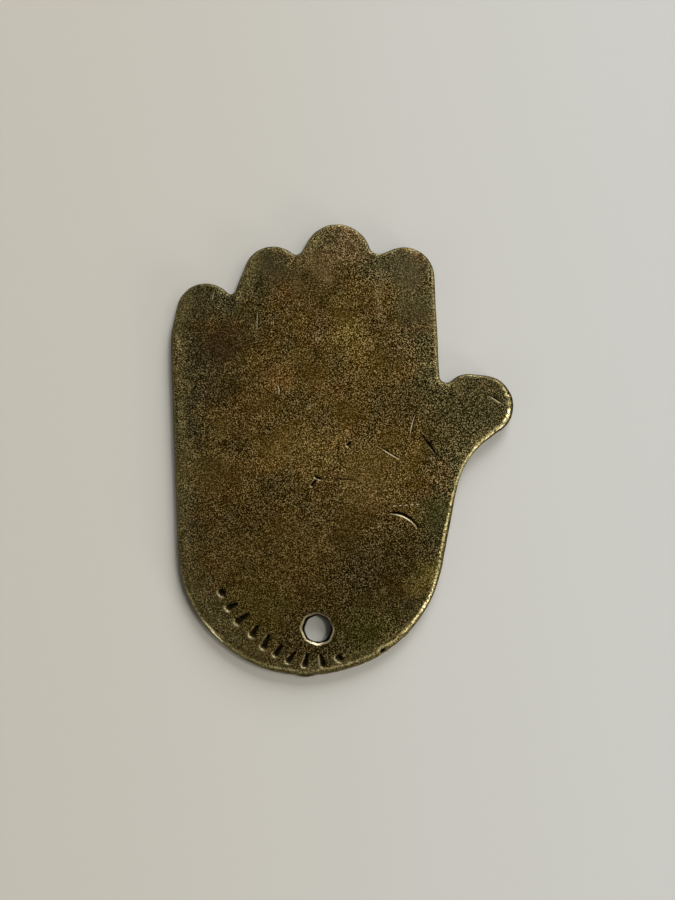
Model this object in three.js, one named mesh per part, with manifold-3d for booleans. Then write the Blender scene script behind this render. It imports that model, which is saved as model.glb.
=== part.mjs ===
// Hamsa amulet: one flat brass plate cut as an open hand, with a hole in the wrist to hang it by.
// Millimetres, +Z up. The plate lies on z = 0 with its fingers towards +Y and its thumb towards +X.
import * as THREE from "three";
import { mergeVertices } from "three/addons/utils/BufferGeometryUtils.js";
import Module from "manifold-3d";

// Plate
const PLATE_THICKNESS = 3.0;
const ARRIS_ROUND = 1.2; // worn rounding of the outer edge on both faces
const ARRIS_FACETS = 3;

// Lengths along the hand, from the base edge to the fingertips
const HAND_LENGTH = 99.6; // base edge to the middle fingertip
const LITTLE_TIP_DROP = 13.8; // how far each tip stays below the middle one
const RING_TIP_DROP = 5.2;
const INDEX_TIP_DROP = 5.4;
const SHOULDER_DROP = 13.1; // little fingertip to the centre of its outer shoulder

// Widths across the hand, from the little finger's edge to the thumb
const LITTLE_AXIS_INSET = 7.7; // hand's edge to the little finger's axis
const LITTLE_TO_RING = 15.0; // spacing of the finger axes
const RING_TO_MIDDLE = 14.5;
const INDEX_FROM_MIDDLE = 15.1;
const LITTLE_HALF_WIDTH = 5.9; // each finger's axis to the notch or side on its right
const RING_HALF_WIDTH = 5.7;
const MIDDLE_HALF_WIDTH = 8.1;
const INDEX_HALF_WIDTH = 7.7;

// Fingertips and the shoulder of the little finger
const SHOULDER_RADIUS = 12.0;
const LITTLE_TIP_RADIUS = 6.6;
const RING_TIP_RADIUS = 6.6;
const MIDDLE_TIP_RADIUS = 7.7;
const INDEX_TIP_RADIUS = 6.8;

// Notches between the fingertips: depth below the lower tip beside them, and the round of their floor
const LITTLE_NOTCH_DEPTH = 3.3;
const MIDDLE_NOTCH_DEPTH = 2.6;
const INDEX_NOTCH_DEPTH = 2.2;
const LITTLE_NOTCH_ROUND = 1.1;
const MIDDLE_NOTCH_ROUND = 1.3;
const INDEX_NOTCH_ROUND = 2.1;

// Thumb, set out from the web where it meets the index finger
const WEB_DROP = 33.0; // index fingertip down to the web
const WEB_ROUND = 1.5;
const KNUCKLE_RADIUS = 4.6;
const KNUCKLE_OUT = 6.0; // web to the knuckle's centre
const KNUCKLE_DOWN = 0.7;
const THUMB_TIP_RADIUS = 6.75;
const THUMB_TIP_OUT = 9.4; // web to the thumb tip's centre
const THUMB_TIP_DOWN = 3.2;
const THUMB_ROOT_OUT = 4.7; // web to the corner under the thumb
const THUMB_ROOT_DOWN = 14.8;
const THUMB_ROOT_ROUND = 18.0;

// Palm and its round base
const BASE_FLAT = 2.0; // straight run between the two rounds of the base
const PALM_LEAN = 2.7; // how far the base lies inside the little finger's edge
const HEEL_OUT = 0.35; // how far the thumb side of the base stands out past the web
const BASE_RISE = 0.5; // how far the base edge climbs on the thumb's side

// Hanging hole
const HOLE_DIAMETER = 5.8;
const HOLE_LIP = 0.55; // worn chamfer at both mouths
const HOLE_FROM_BASE = 9.9; // base edge to the hole's centre
const HOLE_ASIDE = 4.2; // middle finger's axis to the hole's centre, towards the little finger

// Stub of the casting sprue, filed down on the base edge
const SPRUE_WIDTH = 4.4;
const SPRUE_STAND = 0.4; // how far it stands out of the edge
const SPRUE_DEPTH = 1.2; // how far it reaches into the edge
const SPRUE_HEIGHT = 2.0; // across the plate's thickness

// Facets
const ARC_STEP = THREE.MathUtils.degToRad(5); // largest turn between two points of an arc
const HOLE_FACETS = 48;
const SPRUE_FACETS = 16;
const CUT_OVERRUN = 0.5; // how far a cutter runs past the faces
const TIP_LIMIT = 0.98; // share of the room between its notches that a fingertip's round may fill
const RUN_LIMIT = 0.95; // share of a straight run that a notch's round may use up

// Places that follow from the sizes
const middleAxis = LITTLE_AXIS_INSET + LITTLE_TO_RING + RING_TO_MIDDLE;
const webSide = middleAxis + INDEX_FROM_MIDDLE + INDEX_HALF_WIDTH;
const heelSide = webSide + HEEL_OUT;
const baseRound = (heelSide - PALM_LEAN - BASE_FLAT) / 2; // radius of both rounds of the base
const baseLowest = PALM_LEAN + baseRound; // across the hand to the lowest point of the base edge

const BRASS = new THREE.MeshStandardMaterial({ color: 0x43371b, roughness: 0.55, metalness: 0.9 });

const wasm = await Module();
wasm.setup();

/** A closed three.js geometry as a solid that can be joined and cut. */
function solidFrom(geometry) {
  const bare = geometry.clone();
  bare.deleteAttribute("normal");
  bare.deleteAttribute("uv");
  const merged = mergeVertices(bare);
  return new wasm.Manifold(
    new wasm.Mesh({
      numProp: 3,
      vertProperties: merged.attributes.position.array,
      triVerts: new Uint32Array(merged.index.array),
    }),
  );
}

/** A solid back as a three.js geometry. */
function geometryFrom(solid) {
  const mesh = solid.getMesh();
  const geometry = new THREE.BufferGeometry();
  geometry.setAttribute("position", new THREE.BufferAttribute(mesh.vertProperties, 3));
  geometry.setIndex(new THREE.BufferAttribute(mesh.triVerts, 1));
  geometry.computeVertexNormals();
  return geometry;
}

/** A disc that the outline runs round. */
const disc = (x, y, radius) => ({ at: new THREE.Vector2(x, y), radius, isDisc: true });

/** An inner corner that the outline turns in, rounded off. */
const notch = (x, y, round) => ({ at: new THREE.Vector2(x, y), round, isDisc: false });

/** A fingertip whose top is at height tip, as round as the notches beside it leave room for. */
function fingertip(axis, tip, radius, ...notches) {
  const room = notches.map(({ at }) => {
    const aside = axis - at.x;
    const below = tip - at.y;
    return (aside * aside + below * below) / (2 * below);
  });
  const round = Math.min(radius, ...room.map((largest) => largest * TIP_LIMIT));
  return disc(axis, tip - round, round);
}

/** The point at an angle on a disc's rim. */
const onRim = ({ at, radius }, angle) =>
  new THREE.Vector2(at.x + radius * Math.cos(angle), at.y + radius * Math.sin(angle));

/** Where a straight run between two neighbours on the outline leaves the first and meets the second. */
function tangentRun(from, to) {
  const along = to.at.clone().sub(from.at);
  const heading = along.angle();
  const reach = along.length();
  if (from.isDisc && to.isDisc) {
    const angle = heading + Math.acos((from.radius - to.radius) / reach);
    return [onRim(from, angle), onRim(to, angle)];
  }
  if (from.isDisc) {
    return [onRim(from, heading + Math.acos(from.radius / reach)), to.at];
  }
  return [from.at, onRim(to, heading + Math.PI - Math.acos(to.radius / reach))];
}

/** Points on an arc from one point to another, clockwise or anticlockwise, ends included. */
function arcPoints(centre, start, end, clockwise) {
  const spoke = start.clone().sub(centre);
  const radius = spoke.length();
  const first = spoke.angle();
  const last = end.clone().sub(centre).angle();
  const sweep = THREE.MathUtils.euclideanModulo(clockwise ? first - last : last - first, 2 * Math.PI);
  const steps = Math.max(1, Math.ceil(sweep / ARC_STEP));
  const turn = (clockwise ? -sweep : sweep) / steps;
  return Array.from({ length: steps + 1 }, (_, i) => onRim({ at: centre, radius }, first + i * turn));
}

/** Points on the round of a notch whose straight runs come from one point and go to another. */
function notchPoints({ at, round }, before, after) {
  const back = before.clone().sub(at);
  const onward = after.clone().sub(at);
  const shorter = Math.min(back.length(), onward.length());
  back.normalize();
  onward.normalize();
  const half = Math.acos(back.dot(onward)) / 2;
  const used = Math.min(round / Math.tan(half), shorter * RUN_LIMIT);
  const middle = back.clone().add(onward).normalize();
  const centre = at.clone().addScaledVector(middle, used / Math.cos(half));
  const start = at.clone().addScaledVector(back, used);
  const end = at.clone().addScaledVector(onward, used);
  return arcPoints(centre, start, end, false);
}

/** The hand's outline, clockwise: discs and notches in turn, joined by straight runs that touch them. */
function handOutline() {
  const littleTip = HAND_LENGTH - LITTLE_TIP_DROP;
  const ringTip = HAND_LENGTH - RING_TIP_DROP;
  const indexTip = HAND_LENGTH - INDEX_TIP_DROP;
  const littleAxis = LITTLE_AXIS_INSET;
  const ringAxis = littleAxis + LITTLE_TO_RING;
  const indexAxis = middleAxis + INDEX_FROM_MIDDLE;
  const littleSide = littleAxis + LITTLE_HALF_WIDTH;
  const ringSide = ringAxis + RING_HALF_WIDTH;
  const middleSide = middleAxis + MIDDLE_HALF_WIDTH;

  const littleNotch = notch(littleSide, littleTip - LITTLE_NOTCH_DEPTH, LITTLE_NOTCH_ROUND);
  const middleNotch = notch(ringSide, ringTip - MIDDLE_NOTCH_DEPTH, MIDDLE_NOTCH_ROUND);
  const indexNotch = notch(middleSide, indexTip - INDEX_NOTCH_DEPTH, INDEX_NOTCH_ROUND);
  const web = notch(webSide, indexTip - WEB_DROP, WEB_ROUND);
  const root = notch(web.at.x + THUMB_ROOT_OUT, web.at.y - THUMB_ROOT_DOWN, THUMB_ROOT_ROUND);

  const stations = [
    disc(heelSide - baseRound, BASE_RISE + baseRound, baseRound),
    disc(baseLowest, baseRound, baseRound),
    disc(SHOULDER_RADIUS, littleTip - SHOULDER_DROP, SHOULDER_RADIUS),
    fingertip(littleAxis, littleTip, LITTLE_TIP_RADIUS, littleNotch),
    littleNotch,
    fingertip(ringAxis, ringTip, RING_TIP_RADIUS, littleNotch, middleNotch),
    middleNotch,
    fingertip(middleAxis, HAND_LENGTH, MIDDLE_TIP_RADIUS, middleNotch, indexNotch),
    indexNotch,
    fingertip(indexAxis, indexTip, INDEX_TIP_RADIUS, indexNotch),
    web,
    disc(web.at.x + KNUCKLE_OUT, web.at.y - KNUCKLE_DOWN, KNUCKLE_RADIUS),
    disc(web.at.x + THUMB_TIP_OUT, web.at.y - THUMB_TIP_DOWN, THUMB_TIP_RADIUS),
    root,
  ];

  const count = stations.length;
  const runs = stations.map((station, i) => tangentRun(station, stations[(i + 1) % count]));
  return stations.flatMap((station, i) => {
    const [before, met] = runs[(i + count - 1) % count];
    const [left, after] = runs[i];
    return station.isDisc
      ? arcPoints(station.at, met, left, true)
      : notchPoints(station, before, after);
  });
}

/** The plate's blank: the outline raised to its thickness, with a quarter round along both edges. */
function plateBlank() {
  const blank = new THREE.ExtrudeGeometry(new THREE.Shape(handOutline()), {
    depth: PLATE_THICKNESS - 2 * ARRIS_ROUND,
    bevelEnabled: true,
    bevelThickness: ARRIS_ROUND,
    bevelSize: ARRIS_ROUND,
    bevelOffset: -ARRIS_ROUND,
    bevelSegments: ARRIS_FACETS,
  });
  return blank.translate(0, 0, ARRIS_ROUND);
}

/** What is drilled out of the wrist: a bore that opens to a chamfer at both faces. */
function holeCutter() {
  const bore = HOLE_DIAMETER / 2;
  const mouth = bore + HOLE_LIP + CUT_OVERRUN;
  const profile = [
    [0, -CUT_OVERRUN],
    [mouth, -CUT_OVERRUN],
    [bore, HOLE_LIP],
    [bore, PLATE_THICKNESS - HOLE_LIP],
    [mouth, PLATE_THICKNESS + CUT_OVERRUN],
    [0, PLATE_THICKNESS + CUT_OVERRUN],
  ].map(([radius, height]) => new THREE.Vector2(radius, height));
  return new THREE.LatheGeometry(profile, HOLE_FACETS)
    .rotateX(Math.PI / 2)
    .translate(middleAxis - HOLE_ASIDE, HOLE_FROM_BASE, 0);
}

/** The sprue's stub: a small pad at the lowest point of the base edge, half sunk in it. */
function sprueStub() {
  const thick = (SPRUE_STAND + SPRUE_DEPTH) / 2;
  return new THREE.SphereGeometry(1, SPRUE_FACETS, SPRUE_FACETS / 2)
    .scale(SPRUE_WIDTH / 2, thick, SPRUE_HEIGHT / 2)
    .translate(baseLowest, thick - SPRUE_STAND, PLATE_THICKNESS / 2);
}

const plateSolid = solidFrom(plateBlank())
  .add(solidFrom(sprueStub()))
  .subtract(solidFrom(holeCutter()));
const plate = new THREE.Mesh(geometryFrom(plateSolid), BRASS);
plate.name = "hamsa_plate";

// The origin is under the middle of the plate's own box.
plate.geometry.computeBoundingBox();
const middle = plate.geometry.boundingBox.getCenter(new THREE.Vector3());
plate.position.set(-middle.x, -middle.y, 0);

const amulet = new THREE.Group();
amulet.add(plate);

export default amulet;
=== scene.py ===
"""Dresses the hamsa amulet: one worn brass plate in the shape of an open hand, lying on a pale table."""

from __future__ import annotations

import logging
import math
from collections.abc import Sequence
from dataclasses import dataclass
from enum import Enum

import bpy
import numpy as np
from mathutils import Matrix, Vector, kdtree


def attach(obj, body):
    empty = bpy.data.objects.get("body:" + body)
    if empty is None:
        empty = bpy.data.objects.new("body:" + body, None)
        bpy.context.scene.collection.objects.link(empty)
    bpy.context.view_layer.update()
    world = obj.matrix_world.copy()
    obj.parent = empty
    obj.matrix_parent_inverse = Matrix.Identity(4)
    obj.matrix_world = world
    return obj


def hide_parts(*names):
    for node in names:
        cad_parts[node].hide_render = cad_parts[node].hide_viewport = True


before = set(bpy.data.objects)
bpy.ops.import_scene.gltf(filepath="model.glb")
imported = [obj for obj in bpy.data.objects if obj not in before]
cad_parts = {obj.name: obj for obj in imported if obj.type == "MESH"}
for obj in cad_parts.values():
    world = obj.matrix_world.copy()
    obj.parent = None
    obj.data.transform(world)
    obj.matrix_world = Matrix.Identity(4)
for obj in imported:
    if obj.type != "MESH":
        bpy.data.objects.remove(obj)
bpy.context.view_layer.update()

MM = 0.001
log = logging.getLogger("hamsa")

Point = tuple[float, float]
Span = tuple[float, float]
Triple = tuple[float, float, float]
Colour = tuple[float, float, float, float]
Socket = bpy.types.NodeSocket
Feed = Socket | float | tuple

# Flat ways: from a burr into its mark, which puts each burr and its painted highlight on the mark's lower
# left edge, where the light catches; and those that the rounded heel and the worn rims face, the lower
# right rim way being also the lit one, with painted highlight and less painted shade.
THROW = np.array((0.2, 0.2))
HEEL_WAY = np.array((0.2, -0.98))
LIT_RUBBED_WAY = np.array((0.75, -0.66))
PALE_WAY = np.array((-0.75, -0.66))

BURR_SHARE = 0.4
BURR_LEAST = 0.2
FINE_END = 0.3
END_CURVE = 0.7
WEDGE_LOSS = 0.5
LEAST_WEIGHT = 0.001


def tone(red: int, green: int, blue: int) -> Colour:
    """Turns a display colour into the linear colour that a shader takes, by the sRGB curve.

    Args:
        red: the red channel, from 0 to 255.
        green: the green channel.
        blue: the blue channel.

    Returns:
        The linear colour, opaque.
    """
    shares = (channel / 255 for channel in (red, green, blue))
    linear = (s / 12.92 if s <= 0.04045 else ((s + 0.055) / 1.055) ** 2.4 for s in shares)
    return (*linear, 1.0)


def within(values: np.ndarray) -> np.ndarray:
    """Holds numbers between 0 and 1."""
    return np.clip(values, 0.0, 1.0)


def bell(distance: np.ndarray, reach: float | np.ndarray) -> np.ndarray:
    """A smooth hump, 1 at no distance and 0 from reach on."""
    return within(1.0 - (distance / reach) ** 2) ** 2


def climb(values: np.ndarray, start: float | np.ndarray, end: float | np.ndarray) -> np.ndarray:
    """A straight climb, from 0 at start to 1 at end."""
    return within((values - start) / (end - start))


def only(obj: bpy.types.Object) -> None:
    """Makes one object the only one selected, and the active one.

    Args:
        obj: the object.
    """
    bpy.ops.object.select_all(action="DESELECT")
    obj.select_set(True)
    bpy.context.view_layer.objects.active = obj


class Trace(Enum):
    """How a mark shows: its shares of dirt and painted shade, of bare brass and painted highlight, of bare
    brass and painted highlight on the burr, and of flecks rubbed to gold.
    """

    # Dirt darkens the hollows, and in the crescent's dark cut it is painted shade. The burr share is a
    # painted highlight on the lower left edge, which faces the light.
    PUNCHED = (0.9, 0.0, 0.25, 0.0)
    BRIGHT_LIP = (0.0, 0.8, 0.0, 0.0)
    DARK_CUT = (1.0, 0.0, 0.45, 0.0)
    SCORED = (0.8, 0.0, 0.5, 0.0)
    GRAZED = (0.0, 0.5, 0.0, 0.0)
    RUBBED = (0.0, 0.0, 0.0, 0.05)

    @property
    def dirt_and_painted_shade(self) -> float:
        """Share of dirt in the mark, and of painted shade in the crescent's dark cut."""
        return self.value[0]

    @property
    def bare_and_painted_highlight(self) -> float:
        """Share of bare brass in the mark, partly a painted highlight on the crescent's lip and the lower
        left rim.
        """
        return self.value[1]

    @property
    def gleam(self) -> float:
        """Share of bare brass on the burr, a painted highlight on the lower left edge, which faces the
        light.
        """
        return self.value[2]

    @property
    def rub(self) -> float:
        """Share of flecks rubbed to gold."""
        return self.value[3]


class Taper(Enum):
    """How a mark's width runs along it."""

    EVEN = "even"
    BOTH_ENDS = "both ends"
    WEDGE = "wedge"

    def width(self, share: np.ndarray) -> np.ndarray:
        """The mark's width as a share of its full one.

        Args:
            share: places along the mark, from 0 at its start to 1 at its end.

        Returns:
            One share of the width per place.
        """
        if self is Taper.BOTH_ENDS:
            return np.maximum(np.sin(np.pi * share), FINE_END) ** END_CURVE
        if self is Taper.WEDGE:
            return 1.0 - WEDGE_LOSS * share
        return np.ones_like(share)


@dataclass(frozen=True)
class Stroke:
    """One mark in the upper face, along a run of points in millimetres."""

    trace: Trace
    points: tuple[Point, ...]
    half_width: float
    depth: float
    burr: float = 0.0
    taper: Taper = Taper.BOTH_ENDS

    def reach(self, places: np.ndarray) -> np.ndarray:
        """How far each place is from the run, counted longer where the stroke thins out to its ends.

        Args:
            places: x and y of each place, in millimetres.

        Returns:
            One distance per place, in millimetres.
        """
        best = np.full(len(places), np.inf)
        count = len(self.points) - 1
        for i, (first, last) in enumerate(zip(self.points, self.points[1:])):
            start, along = np.array(first), np.subtract(last, first)
            length = along @ along
            share = within((places - start) @ along / length)
            gap = places - start - share[:, None] * along
            width = self.taper.width((i + share) / count)
            best = np.minimum(best, np.hypot(gap[:, 0], gap[:, 1]) / width)
        return best

    def thrown(self, places: np.ndarray) -> np.ndarray:
        """The burr thrown up along the stroke's lower left edge, the edge that catches the light, where the
        burr gets a painted highlight.

        Args:
            places: x and y of each place, in millimetres.

        Returns:
            One share per place, from 0 to 1.
        """
        gap = self.reach(places)
        beyond = self.reach(places + THROW)
        side = within((gap - beyond) / np.hypot(*THROW))
        return side * bell(gap - self.half_width, max(BURR_SHARE * self.half_width, BURR_LEAST))


@dataclass(frozen=True)
class Arc:
    """A round sweep on the face, in millimetres and degrees."""

    centre: Point
    radius: float
    first: float
    last: float
    steps: int = 12

    def run(self, shift: Point) -> tuple[Point, ...]:
        """Sets out the arc as a run of points.

        Args:
            shift: how far the arc is moved, in millimetres.

        Returns:
            The points from its first angle to its last.
        """
        angles = np.radians(np.linspace(self.first, self.last, self.steps))
        x = self.centre[0] + shift[0] + self.radius * np.cos(angles)
        y = self.centre[1] + shift[1] + self.radius * np.sin(angles)
        return tuple((float(a), float(b)) for a, b in zip(x, y))


CRESCENT = Arc((10.75, -22.05), 6.55, 96.0, 32.0)


def grazes(
    first: Point, last: Point, count: int, half_width: float = 0.16, depth: float = 0.02
) -> tuple[Stroke, ...]:
    """Sets out a broken row of pale scratches.

    Args:
        first: where the row starts, in millimetres.
        last: where it ends.
        count: scratches in the row.
        half_width: half of each scratch's width.
        depth: each scratch's depth.

    Returns:
        One stroke per scratch.
    """
    stops = [(float(x), float(y)) for x, y in np.linspace(first, last, 2 * count)]
    return tuple(Stroke(Trace.GRAZED, ends, half_width, depth) for ends in zip(stops[::2], stops[1::2]))


@dataclass(frozen=True)
class PunchedBorder:
    """A hand-punched row along the lower left rim: a dot at each end and wedges between, in millimetres."""

    row: tuple[Point, ...] = (
        (-25.6, -32.0), (-23.1, -34.9), (-20.9, -37.4), (-18.3, -40.0), (-15.9, -42.2),
        (-13.3, -44.0), (-10.5, -45.4), (-7.5, -46.1), (-4.1, -46.1), (-0.6, -45.6),
    )
    dot_drag: Point = (0.3, -0.3)
    dot_half: float = 1.0
    depth: float = 0.5
    burr: float = 0.04
    half_length: float = 1.05
    half_width: float = 0.98
    lean_sway: float = 0.3
    lean_pace: float = 5.0
    length_sway: float = 0.3
    length_pace: float = 3.0
    length_start: float = 1.0
    width_sway: float = 0.12
    width_pace: float = 7.0
    depth_sway: float = 0.08
    depth_pace: float = 2.0

    def marks(self) -> list[Stroke]:
        """Sets out the dots, and the wedges across the row's line, each a little uneven.

        Returns:
            One stroke per punch mark.
        """
        marks = []
        for i, (x, y) in enumerate(self.row):
            if i in (0, len(self.row) - 1):
                ends = ((x, y), (x + self.dot_drag[0], y + self.dot_drag[1]))
                marks.append(Stroke(Trace.PUNCHED, ends, self.dot_half, self.depth, self.burr, Taper.EVEN))
                continue
            along = np.subtract(self.row[i + 1], self.row[i - 1])
            lean = math.atan2(along[0], -along[1]) + self.lean_sway * math.sin(self.lean_pace * i)
            sway = math.sin(self.length_pace * i + self.length_start)
            across = np.array((math.cos(lean), math.sin(lean)))
            across *= self.half_length + self.length_sway * sway
            ends = (tuple(np.array((x, y)) - across), tuple(np.array((x, y)) + across))
            wide = self.half_width + self.width_sway * math.sin(self.width_pace * i)
            deep = self.depth + self.depth_sway * math.sin(self.depth_pace * i)
            marks.append(Stroke(Trace.PUNCHED, ends, wide, deep, self.burr, Taper.WEDGE))
        return marks


@dataclass(frozen=True)
class Cloud:
    """A cloudy noise: its features per millimetre, layers of detail and their roughness."""

    scale: float
    detail: float = 2.0
    rough: float = 0.5

    def feeds(self) -> dict[str, Feed]:
        """The noise's values by the names of the Noise Texture node."""
        return {"Scale": self.scale, "Detail": self.detail, "Roughness": self.rough}


@dataclass(frozen=True)
class Ramp:
    """A smooth course of a number, from bottom at low to top at high."""

    low: float
    high: float
    bottom: float = 0.0
    top: float = 1.0

    def feeds(self) -> dict[str, Feed]:
        """The ramp's ends by the names of the Map Range node."""
        return {"From Min": self.low, "From Max": self.high, "To Min": self.bottom, "To Max": self.top}


class NodeSheet:
    """Lays out and joins the nodes of one material or sky."""

    def __init__(self, owner: bpy.types.Material | bpy.types.World) -> None:
        """Empties the owner's nodes to start afresh.

        Args:
            owner: the material or sky.
        """
        owner.use_nodes = True
        self.tree = owner.node_tree
        self.tree.nodes.clear()

    def add(
        self, kind: str, feeds: dict[str | int, Feed] | None = None, **settings: object
    ) -> bpy.types.Node:
        """Adds a node.

        Args:
            kind: the node's type.
            feeds: what goes into its sockets, by name or number.
            settings: its own properties.

        Returns:
            The new node.
        """
        node = self.tree.nodes.new(kind)
        for name, value in settings.items():
            setattr(node, name, value)
        for key, value in (feeds or {}).items():
            if isinstance(value, bpy.types.NodeSocket):
                self.tree.links.new(value, node.inputs[key])
            else:
                node.inputs[key].default_value = value
        return node

    def join(self, first: Feed, second: Feed, operation: str = "ADD") -> Socket:
        """Joins two numbers by an operation of the Math node."""
        return self.add("ShaderNodeMath", {0: first, 1: second}, operation=operation).outputs[0]

    def times(self, first: Feed, second: Feed) -> Socket:
        """Multiplies two numbers."""
        return self.join(first, second, "MULTIPLY")

    def vectors(self, first: Feed, second: Feed, operation: str) -> Socket:
        """Joins two vectors by an operation of the Vector Math node."""
        return self.add("ShaderNodeVectorMath", {0: first, 1: second}, operation=operation).outputs[0]

    def scaled(self, vector: Feed, factor: float) -> Socket:
        """Multiplies a vector by one number."""
        return self.add("ShaderNodeVectorMath", {0: vector, "Scale": factor}, operation="SCALE").outputs[0]

    def part(self, vector: Feed, axis: str) -> Socket:
        """Takes the X, Y or Z part of a vector."""
        return self.add("ShaderNodeSeparateXYZ", {0: vector}).outputs[axis]

    def ease(self, value: Feed, ramp: Ramp) -> Socket:
        """Takes a number along a ramp."""
        feeds = {"Value": value, **ramp.feeds()}
        return self.add("ShaderNodeMapRange", feeds, interpolation_type="SMOOTHSTEP").outputs[0]

    def noise(self, place: Feed, cloud: Cloud, output: str = "Fac") -> Socket:
        """Adds a cloudy noise and gives one of its outputs."""
        return self.add("ShaderNodeTexNoise", {"Vector": place, **cloud.feeds()}).outputs[output]

    def blend(self, share: Feed, first: Feed, second: Feed, mode: str = "MIX") -> Socket:
        """Blends a second colour over a first."""
        feeds = {0: share, 6: first, 7: second}
        return self.add("ShaderNodeMix", feeds, data_type="RGBA", blend_type=mode).outputs[2]

    def attribute(self, name: str, output: str = "Fac") -> Socket:
        """Reads a number or vector that the mesh carries."""
        return self.add("ShaderNodeAttribute", attribute_name=name).outputs[output]


@dataclass(frozen=True)
class Surface:
    """What a finish reads: the nodes, the place in millimetres, that place turned askew, and the inset."""

    sheet: NodeSheet
    place: Socket
    askew: Socket
    inset: Socket


@dataclass(frozen=True)
class Stain:
    """One soft patch of the patina, in millimetres, and the share of the grain that it covers."""

    at: Point
    radius: float
    colour: Colour
    strength: float
    crust: float = 0.0


@dataclass(frozen=True)
class Patina:
    """The broad colours of the old patina, with its stains and smooth crusts. Lengths in millimetres."""

    brown: Colour = tone(74, 56, 8)
    umber: Colour = tone(52, 38, 2)
    russet: Colour = tone(80, 52, 12)
    olive: Colour = tone(47, 45, 24)
    pale_olive: Colour = tone(106, 95, 60)
    blotches: Cloud = Cloud(0.2, 4.0, 0.6)
    brown_share: Ramp = Ramp(0.36, 0.62)
    drift: Cloud = Cloud(0.11, 3.0, 0.6)
    margin: Ramp = Ramp(11.0, 2.5)
    margin_share: Ramp = Ramp(0.3, 0.55, 0.4, 0.95)
    warmth: Cloud = Cloud(0.14, 3.0, 0.55)
    russet_share: Ramp = Ramp(0.5, 0.68, 0.0, 0.6)
    swirl: Cloud = Cloud(0.16, 3.0, 0.6)
    swirl_middle: Triple = (0.5, 0.5, 0.5)
    swirl_reach: float = 9.0
    crusts: Cloud = Cloud(0.17, 3.0, 0.6)
    open_share: Ramp = Ramp(0.64, 0.5, 0.5, 1.0)
    stain_core: float = 0.2
    face_height: float = 3.0
    stains: tuple[Stain, ...] = (
        Stain((2.0, -30.0), 26.0, tone(56, 44, 15), 0.6),
        Stain((-30.0, 16.0), 11.0, tone(46, 40, 22), 0.6),
        Stain((-25.3, 21.7), 7.0, tone(54, 37, 22), 0.7, 0.7),
        Stain((-15.6, -4.2), 6.0, tone(108, 80, 30), 0.6),
        Stain((-14.1, 14.3), 5.0, tone(112, 80, 34), 0.6),
        Stain((1.9, 23.3), 7.0, tone(92, 76, 26), 0.6),
        Stain((-2.5, 1.0), 7.5, tone(98, 73, 30), 0.6),
        Stain((5.5, -7.5), 10.0, tone(98, 78, 38), 0.6),
        Stain((-9.0, -1.6), 10.0, tone(98, 76, 28), 0.6),
        Stain((-30.5, -6.5), 9.0, tone(94, 78, 36), 0.6),
        Stain((-26.0, -24.0), 11.0, tone(84, 67, 28), 0.6),
        Stain((-9.0, -23.0), 10.0, tone(84, 65, 20), 0.6),
        Stain((30.5, 9.4), 13.0, tone(46, 43, 24), 0.9, 0.45),
        Stain((13.0, -25.5), 11.0, tone(44, 34, 4), 0.8, 0.3),
        Stain((1.5, 45.0), 7.0, tone(94, 72, 46), 0.7),
        Stain((3.9, -27.8), 7.0, tone(40, 30, 8), 0.7),
        Stain((3.9, -36.5), 7.5, tone(52, 46, 18), 0.5),
        Stain((16.3, -31.6), 3.5, tone(112, 98, 44), 0.6),
        Stain((21.0, -15.0), 6.0, tone(50, 52, 20), 0.6, 0.6),
        Stain((7.0, -41.0), 9.0, tone(62, 60, 12), 0.6),
        Stain((-18.0, -36.0), 11.0, tone(88, 76, 28), 0.6),
        Stain((13.0, 26.0), 11.0, tone(48, 38, 13), 0.55),
        Stain((-15.5, 40.0), 7.0, tone(74, 66, 46), 0.6, 0.65),
        Stain((14.8, 39.0), 7.5, tone(78, 71, 52), 0.6, 0.65),
        Stain((17.2, 30.0), 7.0, tone(70, 64, 42), 0.6, 0.6),
        Stain((-32.3, 32.0), 6.0, tone(74, 66, 46), 0.5, 0.5),
        Stain((-4.8, 32.8), 8.0, tone(50, 40, 18), 0.5, 0.35),
        Stain((-3.5, 39.8), 6.0, tone(108, 88, 56), 0.6),
        Stain((-18.5, 25.0), 5.5, tone(46, 36, 16), 0.5),
        Stain((-3.5, 4.5), 5.5, tone(50, 38, 6), 0.7),
        Stain((12.0, 8.8), 10.0, tone(44, 34, 12), 0.6, 0.35),
        Stain((18.0, -27.8), 4.0, tone(108, 96, 44), 0.6),
        Stain((-26.7, 4.0), 5.5, tone(98, 80, 36), 0.5),
        Stain((23.0, 4.0), 10.0, tone(42, 38, 16), 0.6, 0.35),
    )

    def mix(self, surface: Surface) -> tuple[Socket, Socket]:
        """Mixes the patina's broad colours.

        Args:
            surface: what the finish reads.

        Returns:
            The colour before grain and wear, and the share of the grain that shows.
        """
        sheet, place = surface.sheet, surface.place
        colour = sheet.blend(
            sheet.ease(sheet.noise(place, self.blotches), self.brown_share), self.umber, self.brown
        )
        drift = sheet.ease(sheet.noise(place, self.drift), self.margin_share)
        margin = sheet.times(sheet.ease(surface.inset, self.margin), drift)
        colour = sheet.blend(margin, colour, self.olive)
        warm = sheet.part(sheet.noise(place, self.warmth, "Color"), "Y")
        colour = sheet.blend(sheet.ease(warm, self.russet_share), colour, self.russet)
        swirl = sheet.vectors(sheet.noise(place, self.swirl, "Color"), self.swirl_middle, "SUBTRACT")
        warped = sheet.vectors(place, sheet.scaled(swirl, self.swirl_reach), "ADD")
        shown = sheet.ease(sheet.noise(place, self.crusts), self.open_share)
        for stain in self.stains:
            colour, shown = self._spill(sheet, stain, warped, colour, shown)
        return sheet.blend(sheet.attribute("pale"), colour, self.pale_olive), shown

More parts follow.
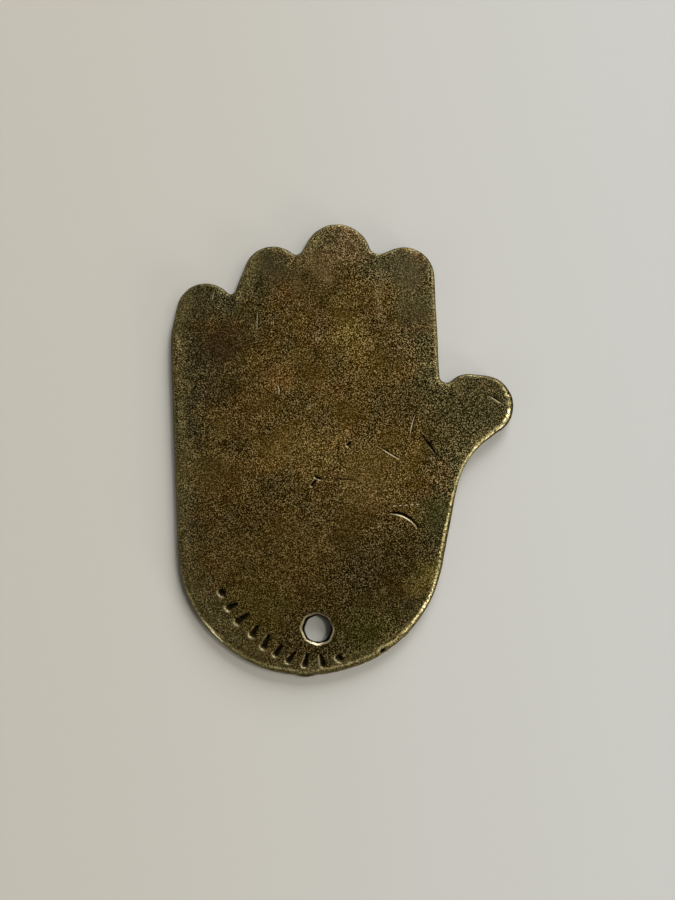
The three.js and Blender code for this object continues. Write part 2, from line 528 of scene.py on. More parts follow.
    def _spill(
        self, sheet: NodeSheet, stain: Stain, warped: Socket, colour: Socket, shown: Socket
    ) -> tuple[Socket, Socket]:
        """Spills one stain over the colour.

        Args:
            sheet: the material's nodes.
            stain: the stain.
            warped: the place that the stain's edge follows.
            colour: the colour so far.
            shown: the share of the grain that shows so far.

        Returns:
            The new colour, and the share of the grain that still shows.
        """
        middle = (*stain.at, self.face_height)
        ends = {0: warped, 1: middle}
        gap = sheet.add("ShaderNodeVectorMath", ends, operation="DISTANCE").outputs["Value"]
        core = self.stain_core * stain.radius
        colour = sheet.blend(
            sheet.ease(gap, Ramp(stain.radius, core, 0.0, stain.strength)), colour, stain.colour
        )
        if stain.crust:
            left = sheet.ease(gap, Ramp(core, stain.radius, 1.0 - stain.crust, 1.0))
            shown = sheet.join(shown, left, "MINIMUM")
        return colour, shown


@dataclass(frozen=True)
class Grained:
    """A grained colour, and the heights of its grain and of the broader patches in it."""

    colour: Socket
    grain: Socket
    patch: Socket


@dataclass(frozen=True)
class Grain:
    """Dark pits and pale flecks, drawn out along the fingers, with file strokes on the wall."""

    pit: Colour = tone(6, 2, 0)
    fleck: Colour = tone(208, 188, 136)
    fleck_share: float = 0.5
    fleck_gain: Colour = (4.0, 4.0, 4.0, 1.0)
    ground_tint: Colour = (0.8, 0.79, 0.64, 1.0)
    threads: Cloud = Cloud(2.0, 1.0)
    thread_middle: float = 0.5
    thread_ridge: Ramp = Ramp(0.2, 0.0, 0.36, 0.64)
    thread_share: float = 0.4
    specks: Cloud = Cloud(4.2, 1.0)
    speck_share: float = 0.6
    patches: Cloud = Cloud(0.35)
    pits_shown: Ramp = Ramp(0.51, 0.4, 0.0, 0.88)
    flecks_shown: Ramp = Ramp(0.55, 0.6)
    patch_flecks: Ramp = Ramp(0.3, 0.65, 0.65, 1.0)
    drawn: Triple = (1.0, 0.1, 1.0)
    streaks: Cloud = Cloud(1.2)
    streaks_shown: Ramp = Ramp(0.54, 0.7)
    finger_streaks: Ramp = Ramp(4.0, 22.0, 0.0, 0.35)
    palm_flecks: Ramp = Ramp(-40.0, -5.0, 0.72, 0.98)
    finger_flecks: Ramp = Ramp(0.0, 40.0, 0.0, -0.26)
    calm_wall: Ramp = Ramp(0.1, 0.7, 0.3, 1.0)
    upright: Triple = (1.0, 1.0, 0.12)
    file_strokes: Cloud = Cloud(2.0, 3.0, 0.6)
    file_shown: Ramp = Ramp(0.48, 0.68, 0.0, 0.34)
    wall: Ramp = Ramp(0.6, 0.1)

    def lay(self, surface: Surface, colour: Socket, shown: Socket) -> Grained:
        """Lays the grain over the patina.

        Args:
            surface: what the finish reads.
            colour: the patina's colour.
            shown: the share of the grain that shows.

        Returns:
            The grained colour and its heights.
        """
        sheet, place = surface.sheet, surface.place
        shown = sheet.times(shown, sheet.ease(surface.inset, self.calm_wall))
        cloud = sheet.noise(surface.askew, self.threads)
        ridge = sheet.join(sheet.join(cloud, self.thread_middle, "SUBTRACT"), 0.0, "ABSOLUTE")
        weave = sheet.times(sheet.ease(ridge, self.thread_ridge), self.thread_share)
        grain = sheet.join(weave, sheet.times(sheet.noise(surface.askew, self.specks), self.speck_share))
        patch = sheet.noise(place, self.patches)
        pits = sheet.times(sheet.ease(grain, self.pits_shown), shown)
        flecks = sheet.times(sheet.ease(grain, self.flecks_shown), shown)
        flecks = sheet.times(flecks, sheet.ease(patch, self.patch_flecks))
        flecks = sheet.times(flecks, self._along_hand(sheet, place))
        gained = sheet.blend(1.0, colour, self.fleck_gain, "MULTIPLY")
        glint = sheet.blend(self.fleck_share, gained, self.fleck)
        ground = sheet.blend(1.0, colour, self.ground_tint, "MULTIPLY")
        colour = sheet.blend(flecks, sheet.blend(pits, ground, self.pit), glint)
        strokes = sheet.noise(sheet.vectors(place, self.upright, "MULTIPLY"), self.file_strokes)
        filed = sheet.times(sheet.ease(strokes, self.file_shown), sheet.ease(surface.inset, self.wall))
        return Grained(sheet.blend(filed, colour, glint), grain, patch)

    def _along_hand(self, sheet: NodeSheet, place: Socket) -> Socket:
        """Finds how the flecks come and go from the base to the fingertips.

        Args:
            sheet: the material's nodes.
            place: the place in millimetres.

        Returns:
            The share of the flecks that shows.
        """
        along = sheet.part(place, "Y")
        streak = sheet.noise(sheet.vectors(place, self.drawn, "MULTIPLY"), self.streaks)
        drag = sheet.times(sheet.ease(streak, self.streaks_shown), sheet.ease(along, self.finger_streaks))
        lift = sheet.join(sheet.ease(along, self.palm_flecks), sheet.ease(along, self.finger_flecks))
        return sheet.join(drag, lift)


@dataclass(frozen=True)
class RubbedEdge:
    """Gold along the arris, in short strokes across it, with painted near-white highlights where it is
    rubbed most.
    """

    gold: Colour = tone(255, 238, 164)
    # Painted highlight: the near-white colour of the glints on the most rubbed arris.
    painted_glint_colour: Colour = tone(255, 250, 220)
    scuffs: Cloud = Cloud(2.2, 2.0, 0.6)
    scuffs_shown: Ramp = Ramp(0.44, 0.56, 0.1, 1.0)
    dashes: Cloud = Cloud(2.0, 1.0)
    dashes_shown: Ramp = Ramp(0.4, 0.5, 0.55, 1.0)
    most_rubbed: Ramp = Ramp(0.4, 0.95)
    painted_glint_shown: Ramp = Ramp(0.5, 0.58)

    def rub(self, surface: Surface, colour: Socket) -> tuple[Socket, Socket]:
        """Rubs the arris to gold and paints near-white highlights on it.

        Args:
            surface: what the finish reads.
            colour: the colour so far.

        Returns:
            The new colour, and the share of gold.
        """
        sheet = surface.sheet
        scuff = sheet.ease(sheet.noise(surface.askew, self.scuffs), self.scuffs_shown)
        dash = sheet.noise(sheet.attribute("foot", "Vector"), self.dashes)
        arris = sheet.times(sheet.attribute("wear_and_painted_highlight"), scuff)
        arris = sheet.times(arris, sheet.ease(dash, self.dashes_shown))
        painted_glint = sheet.times(sheet.ease(arris, self.most_rubbed), sheet.ease(dash, self.painted_glint_shown))
        return sheet.blend(painted_glint, sheet.blend(arris, colour, self.gold), self.painted_glint_colour), arris


@dataclass(frozen=True)
class AgedBrass:
    """Brass under an old brown patina, rubbed to gold along its edges, with painted highlights and painted
    shade.
    """

    name: str = "aged_brass_patina"
    patina: Patina = Patina()
    grain: Grain = Grain()
    edge: RubbedEdge = RubbedEdge()
    # Bare brass, also the colour of the painted highlights on lips and burrs.
    bare_brass: Colour = tone(244, 230, 184)
    # Dirt, also the colour of the painted shade on the rim, the stub and the crescent's cut.
    dirt: Colour = tone(14, 10, 5)
    askew: Triple = (0.6, 0.5, 0.3)
    dullness: Ramp = Ramp(0.38, 0.62, 0.72, 0.52)
    dirt_dullness: float = 0.2
    polish_dullness: float = -0.44
    polish_metal: float = -0.35
    patch_height: float = 0.5
    bump: float = 0.7
    bump_depth: float = 0.05

    def material(self) -> bpy.types.Material:
        """Builds the brass as a material.

        Returns:
            The new material.
        """
        brass = bpy.data.materials.new(self.name)
        sheet = NodeSheet(brass)
        place = sheet.scaled(sheet.add("ShaderNodeTexCoord").outputs["Object"], 1.0 / MM)
        turn = {"Vector": place, "Rotation": self.askew}
        askew = sheet.add("ShaderNodeVectorRotate", turn, rotation_type="EULER_XYZ").outputs[0]
        surface = Surface(sheet, place, askew, sheet.attribute("inset"))
        colour, shown = self.patina.mix(surface)
        grained = self.grain.lay(surface, colour, shown)
        colour, arris = self.edge.rub(surface, grained.colour)

        # Dirt and painted shade, then bare brass and painted highlight, laid over the colour.
        dirt_and_painted_shade = sheet.attribute("dirt_and_painted_shade")
        bare_and_painted_highlight = sheet.attribute("bare_and_painted_highlight")
        colour = sheet.blend(dirt_and_painted_shade, colour, self.dirt)
        colour = sheet.blend(bare_and_painted_highlight, colour, self.bare_brass)

        polish = sheet.join(arris, bare_and_painted_highlight, "MAXIMUM")
        dull = sheet.join(sheet.ease(grained.grain, self.dullness), sheet.times(dirt_and_painted_shade, self.dirt_dullness))
        rough = sheet.join(dull, sheet.times(polish, self.polish_dullness))
        metal = sheet.join(1.0, sheet.times(polish, self.polish_metal))
        height = sheet.join(grained.grain, sheet.times(grained.patch, self.patch_height))
        relief = {"Height": height, "Strength": self.bump, "Distance": self.bump_depth * MM}
        normal = sheet.add("ShaderNodeBump", relief).outputs[0]
        looks = {"Base Color": colour, "Roughness": rough, "Metallic": metal, "Normal": normal}
        shader = sheet.add("ShaderNodeBsdfPrincipled", looks)
        sheet.add("ShaderNodeOutputMaterial", {"Surface": shader.outputs[0]})
        return brass


@dataclass(frozen=True)
class Rim:
    """Where each vertex lies from the outer wall: inset, the wall's direction, and its nearest place."""

    inset: np.ndarray
    outward: np.ndarray
    feet: np.ndarray


@dataclass(frozen=True)
class RimWear:
    """How the rim is rubbed to gold, with painted highlight on its lit lower right side, darkened by dirt
    and painted shade away from the light, or worn paler. Lengths in millimetres.
    """

    rubbed: Span = (0.3, 0.9)
    under: Span = (0.1, 0.6)
    thumb: Span = (28.0, 33.0)
    tip_gain: float = 1.4
    tip_start: float = 0.4
    line: float = 0.45
    line_right: float = 0.5
    line_heel: float = 0.7
    line_tip: float = 0.6
    right_at: float = -21.0
    right_reach: float = 14.0
    # Gold on the arris: wear, stronger on the lit lower right, the under side and the thumb tip as a
    # painted highlight.
    gold: float = 0.14
    gold_under: float = 0.32
    gold_right: float = 0.35
    gold_corner: float = 0.55
    gold_tip: float = 0.3
    width: float = 0.36
    width_under: float = 0.12
    width_heel: float = -0.18
    # Dirt and painted shade along the outer wall: a dark band, lifted on the lower right and under sides,
    # which face the light.
    dirt: float = 0.55
    dark_lift_lit: float = 0.5
    dark_lift_under: float = 0.7
    dark_band_slope: float = 1.3
    pale: float = 0.72
    pale_turn: Span = (-0.35, 0.25)
    pale_start: float = 1.0
    pale_reach: float = 3.2
    pale_corner: float = 7.0

    def shares(self, places: np.ndarray, rim: Rim, base: np.ndarray) -> dict[str, np.ndarray]:
        """Works out how the rim has worn.

        Args:
            places: the vertices in millimetres, one row each.
            rim: where they lie from the wall.
            base: how far each belongs to the base.

        Returns:
            The shares of wear and painted highlight, of dirt and painted shade, and of pale patina, by
            name, one number per vertex each.
        """
        outward = rim.outward
        right = climb(outward @ LIT_RUBBED_WAY, *self.rubbed)
        heel = within(outward @ HEEL_WAY) ** 2 * base
        under = climb(-outward[:, 1], *self.under)
        thumb = climb(places[:, 0], *self.thumb)
        tip = thumb * within(outward[:, 0] * self.tip_gain - self.tip_start)

        bulge = right * bell(places[:, 1] - self.right_at, self.right_reach)
        line = self.line + self.line_right * bulge + self.line_heel * heel + self.line_tip * tip
        # More gold on the under side, the thumb tip and the lower right: wear, and painted highlight where
        # the rim faces the light.
        gold = self.gold + self.gold_under * under + self.gold_tip * tip
        gold += right * (self.gold_right + self.gold_corner * under)
        width = self.width + self.width_under * under + self.width_heel * heel
        wear_and_painted_highlight = within(gold) * bell(rim.inset - line, width)

        # The dark outer band: dirt and painted shade, lighter where the rim faces the light.
        dirt = self.dirt - self.dark_lift_lit * np.maximum(right, self.dark_lift_under * under)
        dirt_and_painted_shade = dirt * within(self.dark_band_slope * (1.0 - rim.inset / line))

        side = climb(outward @ PALE_WAY, *self.pale_turn) * (1.0 - thumb)
        corner = within(-outward[:, 0]) * within(-outward[:, 1])
        away = np.maximum(rim.inset - self.pale_start, 0.0)
        pale = self.pale * side * bell(away, self.pale_reach + self.pale_corner * corner)
        return {"wear_and_painted_highlight": wear_and_painted_highlight, "dirt_and_painted_shade": dirt_and_painted_shade, "pale": pale}


@dataclass(frozen=True)
class HangingHole:
    """The filed hole in the wrist, with its lip of bare brass, painted brightest at the bottom and lower
    left where it faces the light, and its darkened bore. Sizes in millimetres.
    """

    at: Point = (-5.08, -39.70)
    radius: float = 2.9
    dirt: float = 0.25
    lean: float = 0.4
    sides: int = 8
    side_depth: float = 0.09
    side_dirt: float = 0.4
    lip_width: float = 0.3
    lip_edge: float = 0.12
    # Angle in degrees, radius and share of bare brass round the lip; the share peaks at the bottom and
    # lower left, a painted highlight where the lip faces the light.
    lip: tuple[Triple, ...] = (
        (20.0, 3.1, 0.2), (90.0, 3.1, 0.3), (150.0, 3.5, 0.35), (225.0, 3.25, 0.6),
        (270.0, 3.2, 1.0), (300.0, 3.45, 0.4), (345.0, 3.5, 0.4),
    )

    def distance(self, places: np.ndarray) -> np.ndarray:
        """Each place's distance from the hole's axis, in millimetres."""
        return np.hypot(*(places[:, :2] - self.at).T)

    def angle(self, places: np.ndarray) -> np.ndarray:
        """Each place's direction from the hole's axis, in radians."""
        across, up = (places[:, :2] - self.at).T
        return np.arctan2(up, across)

    def packed(self, places: np.ndarray) -> np.ndarray:
        """How thickly dirt lies at each place of the bore, most in the middle of a filed side."""
        filed = 0.5 - 0.5 * np.cos(self.sides * self.angle(places))
        return (1.0 - self.side_dirt) + self.side_dirt * filed

    def shares(self, places: np.ndarray) -> tuple[np.ndarray, np.ndarray]:
        """Works out the lip of bare brass and painted highlight, and the darkened bore.

        Args:
            places: the vertices in millimetres, one row each.

        Returns:
            The shares of bare brass and painted highlight, and of darkening in the bore, one number per
            vertex each.
        """
        away, angle = self.distance(places), self.angle(places)
        angles, radii, shines = np.array(self.lip).T
        edge = np.interp(np.degrees(angle), angles, radii, period=360.0)
        edge += self.side_depth * np.cos(self.sides * angle)
        shine = np.interp(np.degrees(angle), angles, shines, period=360.0)
        bore = climb(away, edge - self.lip_edge, edge - 2.0 * self.lip_edge)
        return shine * bell(away - edge, self.lip_width), bore


@dataclass(frozen=True)
class HamsaPlate:
    """The hand plate, with its dents, punched border, scratches and worn rim. Sizes in millimetres."""

    node: str = "hamsa_plate"
    body: str = "root"
    slot: str = "aged_brass"
    name: str = "worn_hand_plate"
    top: float = 3.0
    weld: float = 0.001
    voxel: float = 0.42
    relax: int = 3
    relax_share: float = 0.5
    regain: float = 0.12
    mark_margin: float = 0.5
    mouth_margin: float = 1.0
    mark_cuts: int = 3
    skin: float = 1.0
    struck_skin: float = 0.6
    worn_skin: float = 0.5
    worn_turn: float = 0.9
    face_wear: float = 0.06
    edge_turn: Span = (0.97, 0.67)
    wall_turn: float = 0.35
    hole_clear: float = 2.0
    base: Span = (-20.0, -30.0)
    heel_reach: float = 2.4
    heel_drop: float = 0.45
    bore_depth: Span = (0.4, 2.4)
    bore_margin: float = 0.8
    bore_turn: float = 0.5
    wave_size: float = 11.0
    wave_depth: float = 0.1
    wave_layers: int = 1
    nibble_size: float = 2.4
    nibble_depth: float = 0.16
    nibble_layers: int = 2
    mark_fill: float = 1.6
    # Painted shade: a dark spot at the sprue stub on the bottom edge, where the stub's shade falls.
    stub_at: Point = (-7.4, -49.8)
    stub_reach: float = 2.0
    stub_painted_shade: float = 0.7
    hole: HangingHole = HangingHole()
    border: PunchedBorder = PunchedBorder()
    rim_wear: RimWear = RimWear()
    finish: AgedBrass = AgedBrass()
    scratches: tuple[Stroke, ...] = (
        # Painted shade: the crescent's groove, set up and right of its lip, is painted dark where its
        # shadow falls.
        Stroke(Trace.DARK_CUT, CRESCENT.run((0.2, 0.3)), 0.42, 0.32),
        # Painted highlight: bare brass on the crescent's lower left lip, the side that faces the light.
        Stroke(Trace.BRIGHT_LIP, CRESCENT.run((-0.05, -0.08)), 0.13, 0.02),
        Stroke(Trace.DARK_CUT, ((-6.4, -9.3), (-5.3, -7.8)), 0.42, 0.3, 0.04, Taper.EVEN),
        Stroke(Trace.DARK_CUT, ((-5.6, -7.5), (-4.6, -7.9)), 0.38, 0.25, 0.03, Taper.EVEN),
        Stroke(Trace.DARK_CUT, ((1.4, -0.5), (1.9, 0.0)), 0.45, 0.25, 0.03, Taper.EVEN),
        # Bare brass on a chip of the lower left rim, partly a painted highlight for the glint that the
        # left_glint lamp catches.
        Stroke(Trace.BRIGHT_LIP, ((-28.9, -38.3), (-27.3, -40.3), (-25.2, -42.5)), 0.34, 0.02),
        Stroke(Trace.DARK_CUT, ((8.2, -44.5), (9.3, -44.0)), 0.5, 0.3),
        Stroke(Trace.DARK_CUT, ((-1.6, -7.9), (3.1, -8.1)), 0.26, 0.08),
        Stroke(Trace.SCORED, ((7.9, -0.6), (13.8, -4.2)), 0.26, 0.1, 0.03),
        Stroke(Trace.DARK_CUT, ((17.2, 2.3), (21.2, -3.2)), 0.36, 0.18),
        Stroke(Trace.DARK_CUT, ((19.8, 0.5), (19.4, -0.6)), 0.3, 0.12),
        *grazes((11.2, -13.8), (16.8, -13.4), 5),
        Stroke(Trace.SCORED, ((16.3, 6.2), (15.1, 1.6)), 0.26, 0.08, 0.03),
        Stroke(Trace.SCORED, ((-14.0, 13.3), (-13.4, 11.8), (-13.6, 10.1)), 0.24, 0.06, 0.03),
        Stroke(Trace.SCORED, ((32.2, 10.7), (35.8, 8.4)), 0.24, 0.06, 0.03),
        Stroke(Trace.SCORED, ((-28.1, 33.9), (-28.6, 32.0)), 0.2, 0.05, 0.03),
        Stroke(Trace.SCORED, ((-18.4, 29.8), (-18.5, 24.8)), 0.2, 0.04, 0.02),
        Stroke(Trace.RUBBED, ((8.8, 42.0), (8.6, 28.0)), 1.5, 0.02),
        Stroke(Trace.RUBBED, ((-9.6, 41.0), (-10.0, 31.0)), 1.3, 0.02),
    )

    def build(self) -> bpy.types.Object:
        """Models the plate over the frame's node.

        Returns:
            The finished piece, riding on its body.
        """
        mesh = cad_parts[self.node].data.copy()
        plate = bpy.data.objects.new(self.name, mesh)
        bpy.context.scene.collection.objects.link(plate)
        mesh.materials.clear()
        only(plate)
        bpy.ops.object.mode_set(mode="EDIT")
        bpy.ops.mesh.select_all(action="SELECT")
        bpy.ops.mesh.remove_doubles(threshold=self.weld * MM)
        bpy.ops.object.mode_set(mode="OBJECT")
        self._remesh(plate)
        marks = self.border.marks() + list(self.scratches)
        self._refine(plate, marks)
        self._weather(plate)
        self._strike(plate, marks)
        self._paint(plate, marks)
        bpy.ops.object.shade_smooth()
        mesh.materials.append(self.finish.material())
        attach(plate, self.body)
        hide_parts(self.node)
        return plate

    def _remesh(self, plate: bpy.types.Object) -> None:
        """Gives the plate an even skin of small faces and eases its corners.

        Args:
            plate: the piece.
        """
        bpy.ops.object.modifier_add(type="REMESH")
        skin = plate.modifiers[-1]
        skin.mode = "VOXEL"
        skin.voxel_size = self.voxel * MM
        bpy.ops.object.modifier_apply(modifier=skin.name)
        bpy.ops.object.modifier_add(type="SMOOTH")
        ease = plate.modifiers[-1]
        ease.factor = self.relax_share
        ease.iterations = self.relax
        bpy.ops.object.modifier_apply(modifier=ease.name)

    def _refine(self, plate: bpy.types.Object, marks: Sequence[Stroke]) -> None:
        """Cuts the faces under the marks and round the hole's mouth into smaller ones.

        Args:
            plate: the piece.
            marks: the marks to come.
        """
        mesh = plate.data
        centres = np.empty(3 * len(mesh.polygons))
        mesh.polygons.foreach_get("center", centres)
        centres = centres.reshape(-1, 3) / MM
        near = np.zeros(len(centres), dtype=bool)
        for mark in marks:
            near |= mark.reach(centres[:, :2]) < mark.half_width + self.mark_margin
        near |= self.hole.distance(centres) < self.hole.radius + self.mouth_margin
        near &= centres[:, 2] > self.top - self.skin
        bpy.context.tool_settings.mesh_select_mode = (False, False, True)
        mesh.vertices.foreach_set("select", np.zeros(len(mesh.vertices), dtype=bool))
        mesh.edges.foreach_set("select", np.zeros(len(mesh.edges), dtype=bool))
        mesh.polygons.foreach_set("select", near)
        bpy.ops.object.mode_set(mode="EDIT")
        bpy.ops.mesh.subdivide(number_cuts=self.mark_cuts)
        bpy.ops.object.mode_set(mode="OBJECT")

    @staticmethod
    def _displace(
        plate: bpy.types.Object,
        weights: np.ndarray,
        strength: float,
        direction: str,
        grain: bpy.types.Texture | None = None,
    ) -> None:
        """Moves the plate's surface by weight, in one applied modifier.

        Args:
            plate: the piece.
            weights: one share per vertex.
            strength: the move at full weight, in millimetres.
            direction: Y, Z or NORMAL.
            grain: an uneven texture that only ever takes metal away.
        """
        group = plate.vertex_groups.new(name="worked")
        for index in np.nonzero(weights > LEAST_WEIGHT)[0]:
            group.add([int(index)], float(weights[index]), "REPLACE")
        bpy.ops.object.modifier_add(type="DISPLACE")
        press = plate.modifiers[-1]
        press.strength = strength * MM
        press.direction = direction
        press.vertex_group = group.name
        press.mid_level = 0.0
        if grain is not None:
            press.texture = grain
            press.texture_coords = "LOCAL"
            press.mid_level = 1.0
        bpy.ops.object.modifier_apply(modifier=press.name)
        plate.vertex_groups.clear()

    @staticmethod
    def _clouds(name: str, size: float, layers: int) -> bpy.types.Texture:
        """Makes a cloudy texture.

        Args:
            name: the texture's name.
            size: the size of its features in millimetres.
            layers: layers of finer detail.

        Returns:
            The new texture.
        """
        clouds = bpy.data.textures.new(name, "CLOUDS")
        clouds.noise_scale = size * MM
        clouds.noise_depth = layers
        return clouds

    @staticmethod
    def _rows(plate: bpy.types.Object, name: str) -> np.ndarray:
        """Reads a vector of every vertex.

        Args:
            plate: the piece.
            name: co for places in metres, or normal.

        Returns:
            One row per vertex.
        """
        flat = np.empty(3 * len(plate.data.vertices))
        plate.data.vertices.foreach_get(name, flat)
        return flat.reshape(-1, 3)

    def _places(self, plate: bpy.types.Object) -> np.ndarray:
        """The plate's vertices, one row each, in millimetres."""
        return self._rows(plate, "co") / MM

    def _turned(self, plate: bpy.types.Object) -> np.ndarray:
        """How upright the surface's normal is at each vertex, from 0 to 1."""
        return np.abs(self._rows(plate, "normal")[:, 2])

    def _near_base(self, places: np.ndarray) -> np.ndarray:
        """How far each place belongs to the base, from 0 above it to 1."""
        return climb(places[:, 1], *self.base)

    def _rim(self, plate: bpy.types.Object) -> Rim:
        """Finds where each vertex lies from the outer wall.

        Args:
            plate: the piece.

        Returns:
            The distance, the wall's flat direction and its nearest place, one row per vertex each.
        """
        places, normals = self._places(plate), self._rows(plate, "normal")
        outside = self.hole.distance(places) > self.hole.radius + self.hole_clear
        wall = np.nonzero((np.abs(normals[:, 2]) < self.wall_turn) & outside)[0]
        tree = kdtree.KDTree(len(wall))
        for index in wall:
            tree.insert(Vector((*places[index, :2], 0.0)), int(index))
        tree.balance()
        nearest = [tree.find(Vector((x, y, 0.0))) for x, y in places[:, :2]]
        feet = np.array([hit[0] for hit in nearest])
        inset = np.array([hit[2] for hit in nearest])
        outward = normals[[hit[1] for hit in nearest], :2]
        return Rim(inset, outward / np.linalg.norm(outward, axis=1)[:, None], feet)

    def _weather(self, plate: bpy.types.Object) -> None:
        """Wears the faces slightly wavy, rounds the heel, nibbles the rim and packs dirt into the hole.

        Args:
            plate: the piece.
        """
        turned = self._turned(plate)
        self._displace(plate, climb(turned, *self.edge_turn), self.regain, "NORMAL")
        places = self._places(plate)
        upper = (turned > self.worn_turn) & (places[:, 2] > self.top - self.worn_skin)
        self._displace(plate, upper.astype(float), -self.face_wear, "Z")
        rim = self._rim(plate)
        heel = bell(rim.inset, self.heel_reach) * within(rim.outward @ HEEL_WAY) * self._near_base(places)
        self._displace(plate, heel * (places[:, 2] > 0.5 * self.top), -self.heel_drop, "Z")
        shallow, deep = self.bore_depth
        low = climb(places[:, 2], self.top - shallow, self.top - deep)
        inside = self.hole.distance(places) < self.hole.radius + self.bore_margin
        bore = low * inside * (turned < self.bore_turn)
        self._displace(plate, bore * self.hole.packed(places), self.hole.dirt, "NORMAL")
        self._displace(plate, bore, -self.hole.lean, "Y")
        waves = self._clouds("slow_waves", self.wave_size, self.wave_layers)
        self._displace(plate, np.ones(len(places)), self.wave_depth, "NORMAL", waves)
        nibbles = self._clouds("rim_nibbles", self.nibble_size, self.nibble_layers)
        edge = climb(self._turned(plate), *self.edge_turn)
        self._displace(plate, edge, self.nibble_depth, "NORMAL", nibbles)

    def _strike(self, plate: bpy.types.Object, marks: Sequence[Stroke]) -> None:
        """Presses the marks into the upper face and raises the burrs beside them.

        Args:
            plate: the piece.
            marks: the marks, with their depths and burrs.
        """
        places = self._places(plate)
        upper = places[:, 2] > self.top - self.struck_skin
        deepest = max(mark.depth for mark in marks)
        highest = max(mark.burr for mark in marks)
        pressed = np.zeros(len(places))
        raised = np.zeros(len(places))
        for mark in marks:
            gap = mark.reach(places[:, :2])
            pressed = np.maximum(pressed, mark.depth / deepest * bell(gap, mark.half_width))
            raised = np.maximum(raised, mark.burr / highest * mark.thrown(places[:, :2]))
        self._displace(plate, pressed * upper, -deepest, "Z")
        self._displace(plate, raised * upper, highest, "Z")

    def _paint(self, plate: bpy.types.Object, marks: Sequence[Stroke]) -> None:
        """Stores what the finish reads at each vertex: its place from the rim, wear and painted highlight,
        dirt and painted shade, bare brass and painted highlight.

        Args:
            plate: the piece.
            marks: the marks that hold dirt and painted shade or show brass and painted highlight.
        """
        places = self._places(plate)
        flat_places = places[:, :2]
        upper = places[:, 2] > self.top - self.skin
        rim = self._rim(plate)
        worn = self.rim_wear.shares(places, rim, self._near_base(places))
        wear_and_painted_highlight, dirt_and_painted_shade = worn["wear_and_painted_highlight"] * upper, worn["dirt_and_painted_shade"]
        bare_and_painted_highlight = np.zeros(len(places))
        for mark in marks:
            share = within(self.mark_fill * bell(mark.reach(flat_places), mark.half_width)) * upper
            dirt_and_painted_shade = np.maximum(dirt_and_painted_shade, mark.trace.dirt_and_painted_shade * share)
            bare_and_painted_highlight = np.maximum(bare_and_painted_highlight, mark.trace.bare_and_painted_highlight * share)
            wear_and_painted_highlight = np.maximum(wear_and_painted_highlight, mark.trace.rub * share)
            # Painted highlight: bare brass on each burr along the mark's lower left edge, where the light
            # catches.
            if mark.burr:
                bare_and_painted_highlight = np.maximum(bare_and_painted_highlight, mark.trace.gleam * mark.thrown(flat_places) * upper)
        # Painted shade at the sprue stub on the bottom edge, and the darkened bore of the hole.
        stub = bell(np.hypot(*(flat_places - self.stub_at).T), self.stub_reach)
        lip, bore = self.hole.shares(places)
        dirt_and_painted_shade = np.maximum.reduce((dirt_and_painted_shade, self.stub_painted_shade * stub, bore))
        # The hole's lip: bare brass, with a painted highlight at its bottom and lower left.
        bare_and_painted_highlight = np.maximum(bare_and_painted_highlight, lip * upper)
        stored = {"inset": rim.inset, "pale": worn["pale"], "wear_and_painted_highlight": wear_and_painted_highlight, "dirt_and_painted_shade": dirt_and_painted_shade, "bare_and_painted_highlight": bare_and_painted_highlight}
        for name, values in stored.items():
            layer = plate.data.attributes.new(name, "FLOAT", "POINT")
            layer.data.foreach_set("value", values)
        layer = plate.data.attributes.new("foot", "FLOAT_VECTOR", "POINT")
        layer.data.foreach_set("vector", rim.feet.ravel())


@dataclass(frozen=True)
class TableTop:
    """The pale matt table under the amulet, painted a little darker and warmer on the left than on the
    right, as the light falls.
    """

    size: float = 1.4
    drop: float = 0.00002
    # Painted shade: the table darkens and warms from right to left across the middle.
    left: Colour = tone(197, 193, 181)
    right: Colour = tone(201, 201, 195)
    across: Ramp = Ramp(-0.08, 0.08)
    fade: Ramp = Ramp(0.68, 0.3)
    roughness: float = 0.9
    gloss: float = 0.25

    def build(self) -> bpy.types.Object:
        """Lays the table under the plate, fading out into the backdrop.

        Returns:
            The table, which is no part of the object.
        """
        bpy.ops.object.select_all(action="DESELECT")
        bpy.ops.mesh.primitive_plane_add(size=self.size, location=(0.0, 0.0, -self.drop))
        table = bpy.context.object
        table.name = "table_top"
        bpy.ops.object.transform_apply(location=True, rotation=True, scale=True)
        paint = bpy.data.materials.new("pale_table")
        sheet = NodeSheet(paint)
        place = sheet.add("ShaderNodeTexCoord").outputs["Object"]
        colour = sheet.blend(sheet.ease(sheet.part(place, "X"), self.across), self.left, self.right)
        away = sheet.add("ShaderNodeVectorMath", {0: place}, operation="LENGTH").outputs["Value"]
        looks = {
            "Base Color": colour,
            "Roughness": self.roughness,
            "Specular IOR Level": self.gloss,
            "Alpha": sheet.ease(away, self.fade),
        }
        shader = sheet.add("ShaderNodeBsdfPrincipled", looks)
        sheet.add("ShaderNodeOutputMaterial", {"Surface": shader.outputs[0]})
        table.data.materials.append(paint)
        return table


@dataclass(frozen=True)
class SoftLamp:
    """One square area lamp that looks at the amulet."""

    name: str
    azimuth: float
    elevation: float
    distance: float
    size: float
    power: float
    colour: Triple

    def build(self) -> bpy.types.Object:
        """Hangs the lamp.

        Returns:
            The lamp's object.
        """
        turn, rise = math.radians(self.azimuth), math.radians(self.elevation)
        place = self.distance * Vector(
            (math.cos(rise) * math.cos(turn), math.cos(rise) * math.sin(turn), math.sin(rise))
        )
        bpy.ops.object.light_add(type="AREA", location=place)
        lamp = bpy.context.object
        lamp.name = self.name
        lamp.rotation_euler = place.to_track_quat("Z", "Y").to_euler()
        lamp.data.size = self.size
        lamp.data.energy = self.power
        lamp.data.color = self.colour
        return lamp


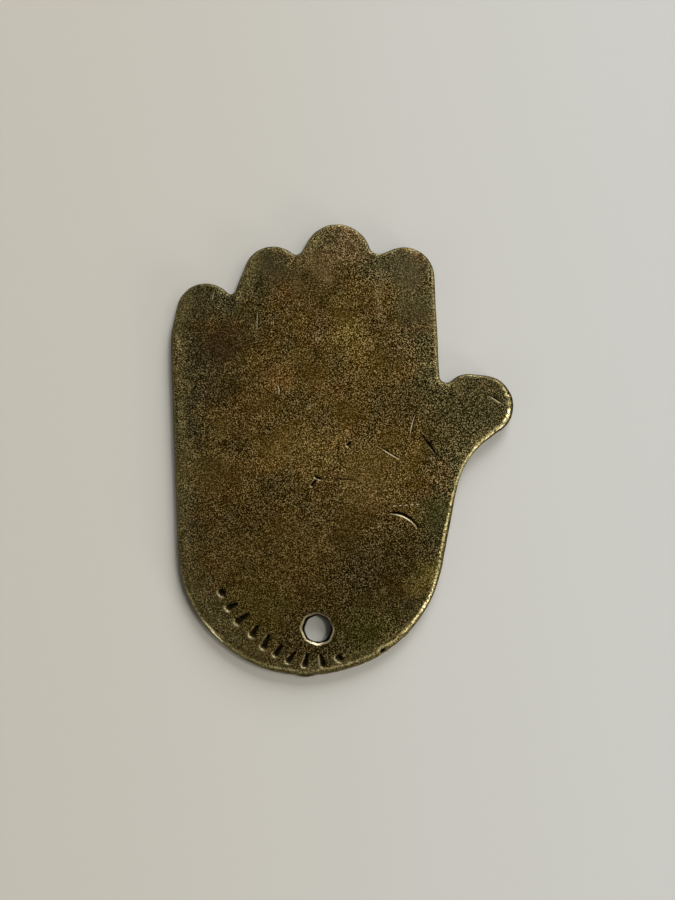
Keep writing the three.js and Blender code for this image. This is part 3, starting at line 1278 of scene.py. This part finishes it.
@dataclass(frozen=True)
class Studio:
    """Camera, lamps and sky."""

    camera_at: Triple = (-0.000831, -0.017025, 0.14925)
    tilt: float = 6.0
    lens: float = 27.04
    sensor: float = 36.0
    nearest: float = 0.005
    sky: Colour = (0.1, 0.095, 0.087, 1.0)
    backdrop: Colour = tone(201, 199, 191)
    backdrop_rise: Ramp = Ramp(0.6, 0.2)
    lamps: tuple[SoftLamp, ...] = (
        SoftLamp("key", 25.0, 60.0, 2.4, 0.5, 14.6, (1.0, 0.97, 0.92)),
        SoftLamp("bright_wall", 15.0, 42.0, 2.6, 1.6, 15.0, (1.0, 0.98, 0.94)),
        SoftLamp("window", 74.0, 25.0, 6.0, 3.2, 392.0, (0.98, 1.0, 1.06)),
        SoftLamp("side_glow", -40.0, 12.0, 2.4, 0.5, 18.0, (1.0, 0.96, 0.88)),
        SoftLamp("right_glint", -34.0, 38.0, 2.4, 0.4, 4.0, (1.0, 0.98, 0.94)),
        SoftLamp("left_glint", 222.0, 16.0, 2.4, 0.4, 4.0, (1.0, 0.98, 0.94)),
    )

    def _sky(self) -> bpy.types.World:
        """Makes a dim sky over a pale backdrop, which only the camera and shiny metal see.

        Returns:
            The new sky.
        """
        world = bpy.data.worlds.new("soft_sky")
        sheet = NodeSheet(world)
        rise = sheet.part(sheet.add("ShaderNodeTexCoord").outputs["Generated"], "Z")
        ray = sheet.add("ShaderNodeLightPath").outputs
        seen = sheet.join(ray["Is Camera Ray"], ray["Is Glossy Ray"], "MAXIMUM")
        pale = sheet.times(sheet.ease(rise, self.backdrop_rise), seen)
        colour = sheet.blend(pale, self.sky, self.backdrop)
        back = sheet.add("ShaderNodeBackground", {"Color": colour})
        sheet.add("ShaderNodeOutputWorld", {"Surface": back.outputs[0]})
        return world

    def build(self) -> None:
        """Sets up the sky, the lamps and the camera."""
        scene = bpy.context.scene
        scene.view_settings.view_transform = "Standard"
        scene.world = self._sky()
        for lamp in self.lamps:
            lamp.build()
        bpy.ops.object.camera_add(location=self.camera_at, rotation=(math.radians(self.tilt), 0.0, 0.0))
        camera = bpy.context.object
        camera.data.sensor_width = self.sensor
        camera.data.lens = self.lens
        camera.data.clip_start = self.nearest
        scene.camera = camera


def main() -> None:
    """Builds the amulet, its table and its studio, and notes the model's size."""
    logging.basicConfig(level=logging.INFO, format="%(message)s")
    plate = HamsaPlate().build()
    log.info("%s: %d faces", plate.name, len(plate.data.polygons))
    table = TableTop().build()
    log.info("%s laid", table.name)
    Studio().build()


if __name__ == "__main__":
    main()
